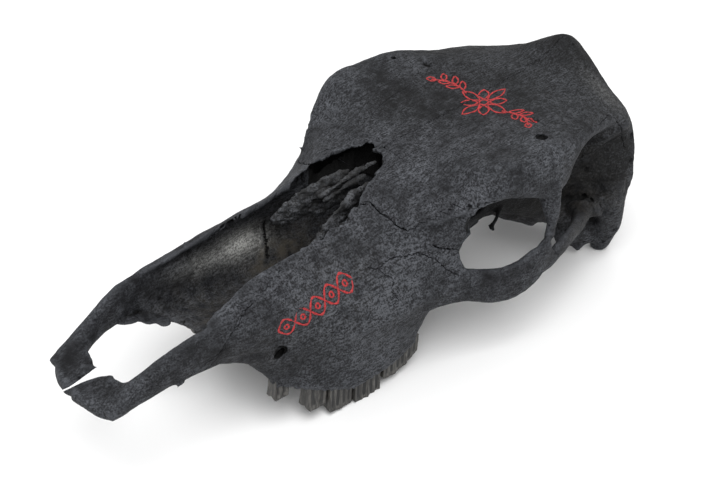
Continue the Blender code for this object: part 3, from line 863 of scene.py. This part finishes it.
def combined(tree, operation, a, b, clamp=False):
    node = add_node(tree, "ShaderNodeMath", operation=operation, use_clamp=clamp)
    feed(tree, node.inputs[0], a)
    feed(tree, node.inputs[1], b)
    return node.outputs[0]


def plus(tree, a, b):
    return combined(tree, "ADD", a, b)


def times(tree, a, b, clamp=False):
    return combined(tree, "MULTIPLY", a, b, clamp)


def grain_node(tree, scale, detail, stretch=(1, 1, 1)):
    """Fine noise over the Object coordinates."""
    place = tree.nodes.get("place") or add_node(tree, "ShaderNodeTexCoord", name="place")
    mapping = add_node(tree, "ShaderNodeMapping", in_Scale=stretch)
    tree.links.new(place.outputs["Object"], mapping.inputs["Vector"])
    texture = add_node(tree, "ShaderNodeTexNoise", in_Scale=scale, in_Detail=detail, in_Roughness=0.62)
    tree.links.new(mapping.outputs["Vector"], texture.inputs["Vector"])
    return texture.outputs["Fac"]


def ramp(tree, value, low, high):
    node = add_node(tree, "ShaderNodeMapRange", in_From_Min=low, in_From_Max=high)
    tree.links.new(value, node.inputs["Value"])
    return node.outputs["Result"]


def attribute(tree, name):
    return add_node(tree, "ShaderNodeAttribute", attribute_name=name).outputs["Fac"]


def finish_shader(tree, colour, roughness, height=None, strength=0, distance=0):
    """Gives the shader its colour, its roughness and, where a height is given, a bump."""
    shader = tree.nodes["Principled BSDF"]
    tree.links.new(colour, shader.inputs["Base Color"])
    shader.inputs["Roughness"].default_value = roughness
    if height is not None:
        node = add_node(tree, "ShaderNodeBump", in_Strength=strength, in_Distance=distance)
        tree.links.new(height, node.inputs["Height"])
        tree.links.new(node.outputs["Normal"], shader.inputs["Normal"])
    return shader


# The near black of painted shade, of painted shade on cut bone and between tooth pillars (also the dark of the
# blades' pores), and of painted shade in the deepest hollows, and the near white of the painted highlights.
SHADED = (0.0055, 0.0055, 0.0055)
SHADE_AND_PORE_BLACK = (0.004, 0.004, 0.004)
HOLLOW_SHADE = (0.003, 0.003, 0.003)
PAINTED_HIGHLIGHT = (0.75, 0.75, 0.72)


def charred_bone(tree, colours):
    """Charcoal-stained bone with dusty clouds, brown hollows, fine fibres, grain and pores, with painted shade and
    painted highlights.
    """
    broad = grain_node(tree, 22, 4)
    cloud = grain_node(tree, 95, 5)
    fibre = grain_node(tree, 540, 4, (1, 0.3, 1))
    grain = grain_node(tree, 720, 3)
    hollow = attribute(tree, "hollow")
    clouds = plus(tree, times(tree, broad, 0.62), times(tree, cloud, 0.38))
    clouds = plus(tree, clouds, times(tree, attribute(tree, "dust"), 0.16))
    dusty = ramp(tree, clouds, 0.36, 0.76)
    speck = plus(tree, times(tree, fibre, 0.45), times(tree, grain, 0.55))
    speck = ramp(tree, speck, 0.43, 0.61)
    dusty = times(tree, dusty, plus(tree, times(tree, speck, 1.7), 0.12), clamp=True)
    base = mix(tree, dusty, colours.charcoal, colours.dust)
    stain = times(tree, attribute(tree, "brown"), ramp(tree, cloud, 0.35, 0.62))
    stained = mix(tree, stain, base, colours.brown)
    # Painted highlight: where the highlight patches lie, the colour is mixed towards a near white.
    pale = times(tree, attribute(tree, "pale"), ramp(tree, speck, -0.4, 0.9))
    lit = mix(tree, pale, stained, PAINTED_HIGHLIGHT)
    edge = mix(tree, times(tree, ramp(tree, hollow, -0.1, -0.9), 0.35), lit, colours.dust)
    # Painted shade: the shade patches, broken by the grain, darken the colour towards near black; on the forehead and
    # snout they also stand for a darker tone.
    shade = times(tree, attribute(tree, "shade"), ramp(tree, speck, 2.9, -0.1))
    shaded = mix(tree, shade, edge, SHADED)
    # Painted shade in the deepest hollows.
    dark = mix(tree, ramp(tree, hollow, 0.15, 0.8), shaded, HOLLOW_SHADE)
    # Painted shade on the cut surfaces of cracks, sutures, holes and chips, darker deeper in the cut.
    cut = mix(tree, times(tree, attribute(tree, "depth"), 0.85), dark, SHADE_AND_PORE_BLACK)
    height = plus(tree, times(tree, fibre, 0.5), times(tree, grain, 0.5))
    height = plus(tree, height, times(tree, cloud, 0.6))
    shader = finish_shader(tree, cut, 0.66, height, 0.9, 0.0018)
    shader.inputs["Specular IOR Level"].default_value = 0.14


def stained_enamel(tree, colours):
    """Grey enamel with upright streaks, with painted shade between the pillars."""
    streak = grain_node(tree, 500, 4, (1, 1, 0.15))
    broad = grain_node(tree, 90, 4)
    hollow = attribute(tree, "hollow")
    dark = tuple(c * 0.22 for c in colours.tooth)
    pale = tuple(min(1, c * 2.4) for c in colours.tooth)
    base = mix(tree, ramp(tree, broad, 0.35, 0.65), dark, colours.tooth)
    ridge = mix(tree, ramp(tree, streak, 0.45, 0.75), base, pale)
    # Painted shade in the hollows between the pillars.
    deep = mix(tree, ramp(tree, hollow, -0.05, 0.25), ridge, SHADE_AND_PORE_BLACK)
    finish_shader(tree, deep, 0.48, plus(tree, streak, times(tree, broad, 0.5)), 0.4, 0.0006)


def porous_bone(tree, colours):
    """Thin grey bone with a coarse porous grain and brown stains, with painted shade in its hollows and in the shade
    patches.
    """
    grain = grain_node(tree, 700, 4)
    broad = grain_node(tree, 110, 5)
    grey = tuple(0.95 * c for c in colours.dust)
    base = mix(tree, ramp(tree, broad, 0.42, 0.62), colours.charcoal, grey)
    stained = mix(tree, times(tree, ramp(tree, broad, 0.6, 0.8), 0.6), base, colours.brown)
    dark = mix(tree, ramp(tree, grain, 0.54, 0.4), stained, SHADE_AND_PORE_BLACK)
    # Painted shade in the hollows.
    deep = mix(tree, ramp(tree, attribute(tree, "hollow"), 0.1, 0.7), dark, HOLLOW_SHADE)
    # Painted shade where the shade patches reach the blades.
    deep = mix(tree, attribute(tree, "shade"), deep, SHADE_AND_PORE_BLACK)
    finish_shader(tree, deep, 0.8, grain, 0.8, 0.0012)


def brushed_red(tree, colours):
    """Thin red paint, worn in places."""
    grain = grain_node(tree, 900, 4)
    worn = tuple(c * 0.35 for c in colours.paint)
    finish_shader(tree, mix(tree, ramp(tree, grain, 0.62, 0.4), worn, colours.paint), 0.62, grain, 0.3, 0.0003)


def pale_floor(tree, colours):
    """An almost even pale floor."""
    cloud = grain_node(tree, 3, 4)
    darker = tuple(c * 0.985 for c in colours.floor)
    finish_shader(tree, mix(tree, cloud, colours.floor, darker), 0.9)


def material_from(maker):
    """The material with the maker's name, made by it the first time."""
    material = bpy.data.materials.get(maker.__name__)
    if material is None:
        material = bpy.data.materials.new(maker.__name__)
        material.use_nodes = True
        maker(material.node_tree, bpy.context.scene.skull_colours)
    return material


MAKERS = {"bone": charred_bone, "inner_bone": porous_bone, "tooth": stained_enamel, "red_paint": brushed_red}


def place_piece(obj, nodes, slot):
    """Sets a finished piece in the frame: inside its box, on its body and with its slot's material."""
    obj.data.transform(TO_WORLD)
    points = coordinates(obj.data)
    set_coordinates(obj.data, np.clip(points, BOX_LOW, BOX_HIGH))
    obj.data.materials.clear()
    obj.data.materials.append(material_from(MAKERS[slot]))
    obj.data.shade_smooth()
    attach(obj, "root")
    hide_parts(*nodes)


def node_names(bone):
    """The frame's nodes that a bone stands for."""
    return ["cranium"] if bone.startswith("frontal") or bone == "braincase" else [bone]


class SKULL_OT_bones(bpy.types.Operator):
    """Build the sculpted bones of the skull, parted along their sutures"""

    bl_idname = "skull.bones"
    bl_label = "Build Bones"

    def execute(self, context):
        skull = merged_bones()
        space = tooth_space()
        roof = roof_space(surface_tree(skull))
        cut_away(skull, [space, mirrored(space), nose_opening(), snout_slit()])
        cut_away(skull, [roof])
        sculpt(skull)
        before = (surface_tree(skull), [f.vertices[0] for f in skull.data.polygons], hollowness(skull.data))
        cut_away(skull, all_cracks(skull))
        cut_away(skull, [ball(f"hole_{i}", *hole) for i, hole in enumerate(HOLES)])
        chipped(skull)
        bones = parted(skull)
        for name, bone in bones.items():
            bone.name = name
            weather(bone.data, before)
            place_piece(bone, node_names(name), "bone")
        if len(bones) != BONE_COUNT:
            self.report({"ERROR"}, f"The sutures parted the skull into {sorted(bones)}")
            return {"CANCELLED"}
        return {"FINISHED"}


TOOTH_HEIGHT = 30.0
TOOTH_LEAN = 0.16


def tooth_body(name, start, length, outer, width, tip):
    """A tall cheek tooth with upright pillars outside, lobes inside and worn crests at its tip."""
    bm = bmesh.new()
    bmesh.ops.create_cube(bm, size=2.0)
    bmesh.ops.subdivide_edges(bm, edges=bm.edges, cuts=22, use_grid_fill=True)
    tooth = new_object(name, bm)
    unit = coordinates(tooth.data)
    u, v, w = unit[:, 1], unit[:, 0], unit[:, 2]
    t = 0.5 + 0.5 * u
    rise = 16 if name == "molar_3" else 2
    lobes = 3 if name == "molar_3" else 2 if name.startswith("molar") else 1
    pillars = 0.0
    for k in range(2 * lobes + 1):
        centre = k / (2 * lobes)
        high = 1.9 if k % 2 == 0 else 1.1
        pillars = pillars + high * np.exp(-(((t - centre) * length / 2.0) ** 2))
    inner = 1.6 * np.abs(np.sin(math.pi * lobes * t)) ** 0.7
    top = tip + TOOTH_HEIGHT
    low = tip + rise * t * t
    crest = 1.1 * np.abs(np.sin(2 * math.pi * lobes * t)) * (0.3 + 0.7 * (v > 0)) - 1.2 * np.exp(-((v * 3) ** 2))
    height = low + (top - low) * (0.5 + 0.5 * w) - crest * (w < -0.98)
    lean = (height - low) * TOOTH_LEAN
    out_x = outer - 1.2 + pillars - lean
    in_x = outer - width - inner + lean * 0.2
    round_end = 1 - 0.12 * np.abs(u) ** 8
    mid = (out_x + in_x) / 2
    x = mid + v * (out_x - in_x) / 2 * round_end
    y = start + length * (0.5 + 0.5 * u * 0.99 * (1 - 0.014 * (1 - w)))
    places = np.stack([x, y, height], 1)
    places += 0.35 * np.stack([turbulence(places, (0.5, 0.5, 0.08), 3, 31.0)] * 3, 1) * (1, 0.4, 0.2)
    set_coordinates(tooth.data, places)
    return tooth


class SKULL_OT_teeth(bpy.types.Operator):
    """Build the cheek teeth of both sides"""

    bl_idname = "skull.teeth"
    bl_label = "Build Teeth"

    def execute(self, context):
        for name, sizes in TEETH.items():
            left = tooth_body(name, *sizes)
            for tooth, side in ((left, "left"), (mirrored(left), "right")):
                tooth.name = f"{name}_{side}"
                weather(tooth.data)
                place_piece(tooth, [f"maxilla_{side}"], "tooth")
        return {"FINISHED"}


BLADE_STEP = 0.7

# Rolled edges of the blades, as chains of places and thicknesses.
SCROLLS = {
    "left": (
        (((14, 226, 118), 1.2), ((12, 240, 126), 1.5), ((10, 252, 134), 1.2)),
    ),
    "right": (
        (
            ((-8, 221, 129), 0.9), ((-5, 230, 136), 1.5), ((-4, 241, 142), 1.9), ((-3, 252, 147), 1.7),
            ((-1, 268, 152), 1.1),
        ),
        (((-5, 222, 126), 0.9), ((-3, 233, 132), 1.5), ((-2, 246, 138), 1.6), ((0, 258, 143), 1.2)),
        (((-5, 233, 132), 1.1), ((-6, 240, 124), 1.8), ((-7, 246, 117), 1.5)),
        (((-10, 232, 134), 1.0), ((-15, 224, 128), 2.2), ((-22, 214, 116), 1.8), ((-27, 204, 104), 1.0)),
        (((-12, 246, 138), 1.0), ((-18, 240, 132), 1.6), ((-25, 230, 120), 1.2)),
    ),
}


class SKULL_OT_blades(bpy.types.Operator):
    """Build the thin bone blades inside the nose"""

    bl_idname = "skull.blades"
    bl_label = "Build Blades"

    def execute(self, context):
        for side in ("left", "right"):
            bm = frame_copy([f"turbinate_{side}"])
            for scroll in SCROLLS[side]:
                add_chain(bm, scroll)
            blade = new_object(f"blade_{side}", bm)
            fuse(blade, BLADE_STEP, 4)
            points = coordinates(blade.data)
            lift = 0.3 + 2.6 * turbulence(points, (0.09, 0.05, 0.09), 2, 41.0)
            lift += 1.2 * turbulence(points, (0.4, 0.2, 0.4), 3, 43.0)
            raise_surface(blade.data, lift)
            weather(blade.data)
            place_piece(blade, [f"turbinate_{side}"], "inner_bone")
        return {"FINISHED"}


def circle(centre, radius, steps):
    """A circle as a list of points, closed."""
    points = []
    for i in range(steps + 1):
        angle = math.radians(360 * i / steps)
        points.append(Vector((math.cos(angle) * radius, math.sin(angle) * radius)) + Vector(centre))
    return points


def petal(centre, near, far, width, turn):
    """A pointed petal from near to far out, closed, turned about the centre."""
    points = []
    for i in range(25):
        t = i / 12
        out = t if t <= 1 else 2 - t
        side = 1 if t <= 1 else -1
        p = Vector((near + (far - near) * out, side * width * math.sin(math.pi * out) ** 0.8))
        p.rotate(Matrix.Rotation(math.radians(turn), 2))
        points.append(p + Vector(centre))
    return points


def rosette():
    """An eight-petal flower with a leafy sprig on each side, in millimetres about its middle."""
    strokes = [circle((0, 0), 3.6, 20)]
    for k in range(8):
        strokes.append(petal((0, 0), 4.6, 24 if k % 2 == 0 else 18, 4.0, k * 45 + 90))
    for side in (-1, 1):
        stem = []
        for i in range(21):
            t = i / 20
            stem.append(Vector((side * (20 + 34 * t), 9 * math.sin(t * 2.6) - 12 * t)))
        strokes.append(stem)
        for i, out in ((3, 1), (6, -1), (9, 1), (12, -1), (15, 1), (18, -1)):
            strokes.append(petal(stem[i], 0.5, 13 - i * 0.25, 2.4, (90 - side * 50) * out))
    return strokes


def rope_band():
    """A band of two crossing waves with small rings between, in millimetres from its start."""
    strokes = []
    for phase in (0, math.pi):
        strokes.append([Vector((i, 6.2 * math.sin(i * math.pi / 14 + phase))) for i in range(71)])
    for k in range(5):
        strokes.append(circle((7 + 14 * k, 0), 1.7, 12))
    return strokes


def paint_stroke(bm, tree, points, width, to_space, direction):
    """A thin closed bead of paint that follows the surface below a plane line."""
    runs = [[]]
    for i, point in enumerate(points):
        a = points[max(i - 1, 0)]
        b = points[min(i + 1, len(points) - 1)]
        if (b - a).length < 1e-6:
            continue
        side = (b - a).normalized().orthogonal()
        half = width / 2 * (0.75 + 0.25 * math.sin(i * 1.3))
        ring = []
        for sign, heights in ((-1, (-0.3, 0.24)), (0, (0.4,)), (1, (0.24, -0.3))):
            start = to_space @ (point + side * half * sign).to_3d()
            hit, normal, _, _ = tree.ray_cast(start, direction)
            if hit is None:
                break
            if normal.dot(direction) > 0:
                normal = -normal
            ring += [hit + normal * height for height in heights]
        if len(ring) == 5:
            runs[-1].append(ring)
        else:
            runs.append([])
    for run in runs:
        if len(run) < 2:
            continue
        join_rings(bm, [[bm.verts.new(p) for p in ring] for ring in run])


# Where the painted motifs stand before they are laid on the bone along a direction.
ON_FOREHEAD = Matrix.Translation((10, 372, OVERHEAD_Z))
ON_CHEEK = (
    Matrix.Translation((160, 136, 70))
    @ Matrix.Rotation(math.radians(90), 4, "Z")
    @ Matrix.Rotation(math.radians(90), 4, "X")
    @ Matrix.Rotation(math.radians(24), 4, "Z")
)


class SKULL_OT_painting(bpy.types.Operator):
    """Lay the red painted lines on the forehead and the left cheek"""

    bl_idname = "skull.painting"
    bl_label = "Paint Lines"

    def execute(self, context):
        width = context.scene.skull_sizes.line_width * MM_PER_M
        jobs = (
            ("rosette", ("frontal_left", "frontal_right"), "cranium", rosette(), ON_FOREHEAD, Vector((0, 0, -1))),
            ("band", ("maxilla_left",), "maxilla_left", rope_band(), ON_CHEEK, Vector((-1, 0, 0))),
        )
        for name, bones, node, strokes, to_space, direction in jobs:
            tree = surface_tree(*(bpy.data.objects[bone] for bone in bones), matrix=TO_SKULL)
            bm = bmesh.new()
            for stroke in strokes:
                paint_stroke(bm, tree, stroke, width, to_space, direction)
            if not bm.faces:
                self.report({"ERROR"}, f"The {name} did not meet the bone")
                return {"CANCELLED"}
            bmesh.ops.recalc_face_normals(bm, faces=bm.faces)
            place_piece(new_object(name, bm), [node], "red_paint")
        return {"FINISHED"}


# The soft lamps: name, place, size and share of the lamp power.
LAMPS = (
    ("key", (0.75, -0.35, 1.7), 1.5, 1.75),
    ("fill", (-1.4, -0.8, 1.3), 1.8, 0.8),
    ("rear", (-0.3, 1.4, 1.3), 1.4, 0.3),
)
LAMP_AIM = Vector((0, 0, 0.08))
WORLD_LIGHT = 0.55
FLOOR_REACH = 30

# The camera that the photo was taken with, in world measure.
CAMERA_PLACE = (0.6226, -0.5367, 0.7012)
CAMERA_AHEAD = Vector((-0.6014, 0.5283, -0.5994))
CAMERA_RIGHT = Vector((0.6635, 0.7482, -0.0062))


class SKULL_OT_stage(bpy.types.Operator):
    """Set out the floor, the lamps and the camera"""

    bl_idname = "skull.stage"
    bl_label = "Set Stage"

    def execute(self, context):
        sizes = context.scene.skull_sizes
        bm = bmesh.new()
        bmesh.ops.create_grid(bm, x_segments=2, y_segments=2, size=FLOOR_REACH)
        floor = new_object("floor", bm)
        floor.data.materials.append(material_from(pale_floor))
        for name, place, size, power in LAMPS:
            lamp = bpy.data.lights.new(name, "AREA")
            lamp.energy = sizes.lamp_power * power
            lamp.size = size
            holder = bpy.data.objects.new(name, lamp)
            holder.location = place
            holder.rotation_euler = (LAMP_AIM - Vector(place)).to_track_quat("-Z", "Y").to_euler()
            context.scene.collection.objects.link(holder)
        world = bpy.data.worlds.new("studio")
        world.use_nodes = True
        background = world.node_tree.nodes["Background"]
        background.inputs["Color"].default_value = (1, 1, 1, 1)
        background.inputs["Strength"].default_value = WORLD_LIGHT
        context.scene.world = world
        context.scene.view_settings.view_transform = "Standard"
        view = bpy.data.cameras.new("view")
        view.sensor_width = 36
        view.lens = sizes.lens
        camera = bpy.data.objects.new("view", view)
        ahead = CAMERA_AHEAD.normalized()
        right = CAMERA_RIGHT.normalized()
        up = right.cross(ahead).normalized()
        turn = Matrix((right, up, -ahead)).transposed().to_4x4()
        camera.matrix_world = Matrix.Translation(CAMERA_PLACE) @ turn
        context.scene.collection.objects.link(camera)
        context.scene.camera = camera
        return {"FINISHED"}


class SKULL_PT_panel(bpy.types.Panel):
    """Sidebar panel with the sizes, the colours and the build steps"""

    bl_idname = "SKULL_PT_panel"
    bl_label = "Cow Skull"
    bl_space_type = "VIEW_3D"
    bl_region_type = "UI"
    bl_category = "Skull"

    def draw(self, context):
        layout = self.layout
        for group in (context.scene.skull_sizes, context.scene.skull_colours):
            box = layout.box()
            for key in group.__annotations__:
                box.prop(group, key)
        for operator in OPERATORS:
            layout.operator(operator.bl_idname)


OPERATORS = (SKULL_OT_bones, SKULL_OT_teeth, SKULL_OT_blades, SKULL_OT_painting, SKULL_OT_stage)
CLASSES = (SkullSizes, SkullColours, *OPERATORS, SKULL_PT_panel)


def register():
    for cls in CLASSES:
        bpy.utils.register_class(cls)
    bpy.types.Scene.skull_sizes = PointerProperty(type=SkullSizes)
    bpy.types.Scene.skull_colours = PointerProperty(type=SkullColours)


def unregister():
    del bpy.types.Scene.skull_colours
    del bpy.types.Scene.skull_sizes
    for cls in reversed(CLASSES):
        bpy.utils.unregister_class(cls)


def main():
    register()
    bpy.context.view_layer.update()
    bpy.ops.skull.bones()
    bpy.ops.skull.teeth()
    bpy.ops.skull.blades()
    bpy.ops.skull.painting()
    bpy.ops.skull.stage()


if __name__ == "__main__":
    main()
